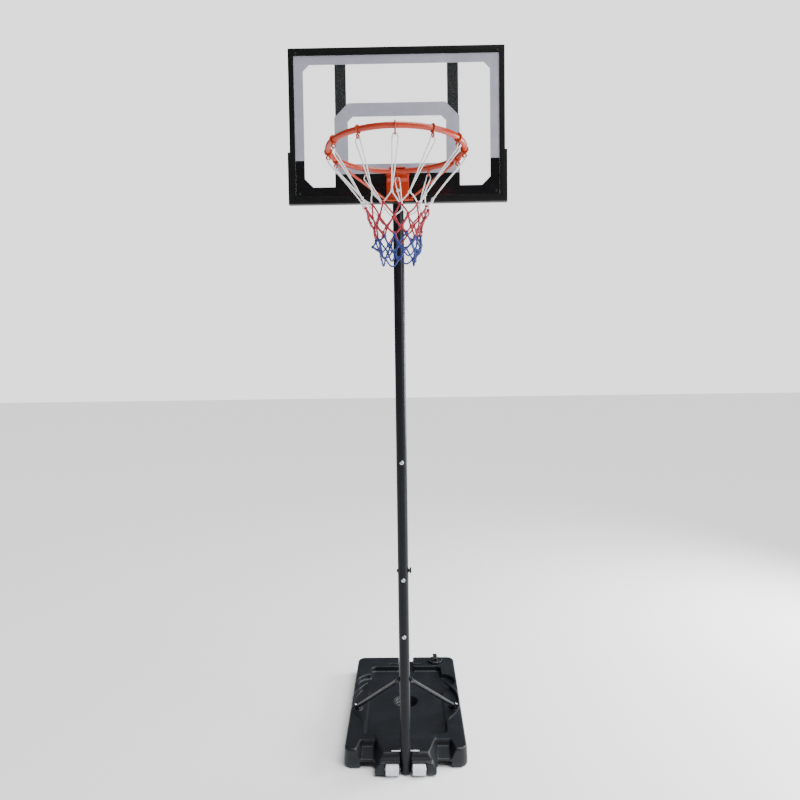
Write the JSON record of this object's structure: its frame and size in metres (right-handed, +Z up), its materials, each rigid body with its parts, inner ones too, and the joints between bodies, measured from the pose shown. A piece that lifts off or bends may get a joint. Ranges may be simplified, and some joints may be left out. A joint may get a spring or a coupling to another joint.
{
  "type": "portable basketball hoop",
  "caption": "Free-standing basketball hoop: fillable wheeled base, strutted telescoping pole, framed clear backboard, steel rim with a hanging net.",
  "frame": {"origin": "centre of the base's footprint on the ground", "axes": "+X to the right seen from the playing side, +Y towards the back of the base, +Z up"},
  "size_m": [0.816, 1.473, 2.813],
  "materials": {
    "hdpe_charcoal": "moulded HDPE, satin",
    "cap_black": "moulded plastic",
    "rubber_black": "matte rubber",
    "water": "water fill",
    "roller_white": "moulded polypropylene",
    "zinc_steel": "zinc plated",
    "pole_grey": "powder coated, semi gloss",
    "strut_grey": "powder coated",
    "frame_black": "moulded, satin black",
    "steel_black": "powder coated black",
    "plastic_black": "moulded black",
    "clear_sheet": "clear polycarbonate sheet",
    "print_grey": "screen printed ink",
    "print_black": "screen printed ink",
    "rim_orange": "powder coated orange",
    "cord_white": "braided polyester cord",
    "cord_red": "braided polyester cord",
    "cord_blue": "braided polyester cord"
  },
  "bodies": {
    "base": {"base_tank": "hdpe_charcoal", "ballast_fill": "water", "axle_left": "zinc_steel", "axle_right": "zinc_steel", "strut_left": "strut_grey", "strut_right": "strut_grey", "strut_top_bolt": "steel_black", "strut_foot_bolts": "zinc_steel", "lower_pole": "pole_grey", "inner_pole": "pole_grey", "pole_pin": "zinc_steel", "pole_foot_plug": "plastic_black", "guide_bush": "plastic_black", "lower_joint_screw": "zinc_steel"},
    "mast": {"middle_pole": "pole_grey", "top_pole": "pole_grey", "pole_top_plug": "plastic_black", "upper_joint_screw": "zinc_steel", "set_screw": "zinc_steel", "clamp_nut": "steel_black", "guide_screw": "steel_black", "frame_top_rail": "frame_black", "frame_bottom_rail": "frame_black", "frame_upper_left": "frame_black", "frame_lower_left": "frame_black", "frame_upper_right": "frame_black", "frame_lower_right": "frame_black", "frame_screws": "steel_black", "board_panel": "clear_sheet", "border_print": "print_grey", "target_print": "print_grey", "lower_print": "print_black", "back_bar_left": "steel_black", "back_bar_right": "steel_black", "cross_strap_lower": "steel_black", "cross_strap_upper": "steel_black", "pole_saddles": "plastic_black", "u_bolts": "zinc_steel", "u_bolt_nuts": "zinc_steel", "strap_rivets": "steel_black", "rim_ring": "rim_orange", "rim_bracket": "rim_orange", "rim_bolt": "zinc_steel", "rim_nut": "zinc_steel", "plate_rivet": "zinc_steel", "brace_rod_left": "rim_orange", "brace_rod_right": "rim_orange", "net_clips": "rim_orange", "net_white": "cord_white", "net_red": "cord_red", "net_blue": "cord_blue"},
    "cap_washer": {"cap_seal": "rubber_black"},
    "cap": {"filler_cap": "cap_black", "cap_thread": "cap_black"},
    "left_roller": {"roller_left": "roller_white"},
    "right_roller": {"roller_right": "roller_white"},
    "clamp": {"clamp_knob": "plastic_black"}
  },
  "joints": [
    {"name": "height_adjust", "type": "slide", "parent": "base", "child": "mast", "axis": [0, 0, 1], "range_m": [0, 0.3]},
    {"name": "cap_turn", "type": "hinge", "parent": "cap_washer", "child": "cap", "pos_m": [0.153, 0.354, 0.09], "axis": [0, 0, 1], "range_deg": [0, 1080]},
    {"name": "cap_rise", "type": "slide", "parent": "base", "child": "cap_washer", "axis": [0, 0, 1], "range_m": [0, 0.012]},
    {"name": "left_roller_spin", "type": "hinge", "parent": "base", "child": "left_roller", "pos_m": [-0.054, -0.462, 0.028], "axis": [1, 0, 0], "continuous": true},
    {"name": "right_roller_spin", "type": "hinge", "parent": "base", "child": "right_roller", "pos_m": [0.054, -0.462, 0.028], "axis": [1, 0, 0], "continuous": true},
    {"name": "clamp_turn", "type": "hinge", "parent": "mast", "child": "clamp", "pos_m": [0.026, -0.446, 0.83], "axis": [1, 0, 0], "range_deg": [0, 720]}
  ],
  "couplings": [
    {"joint": "cap_rise", "follows": "cap_turn", "m_per_rad": 0.00063662}
  ]
}
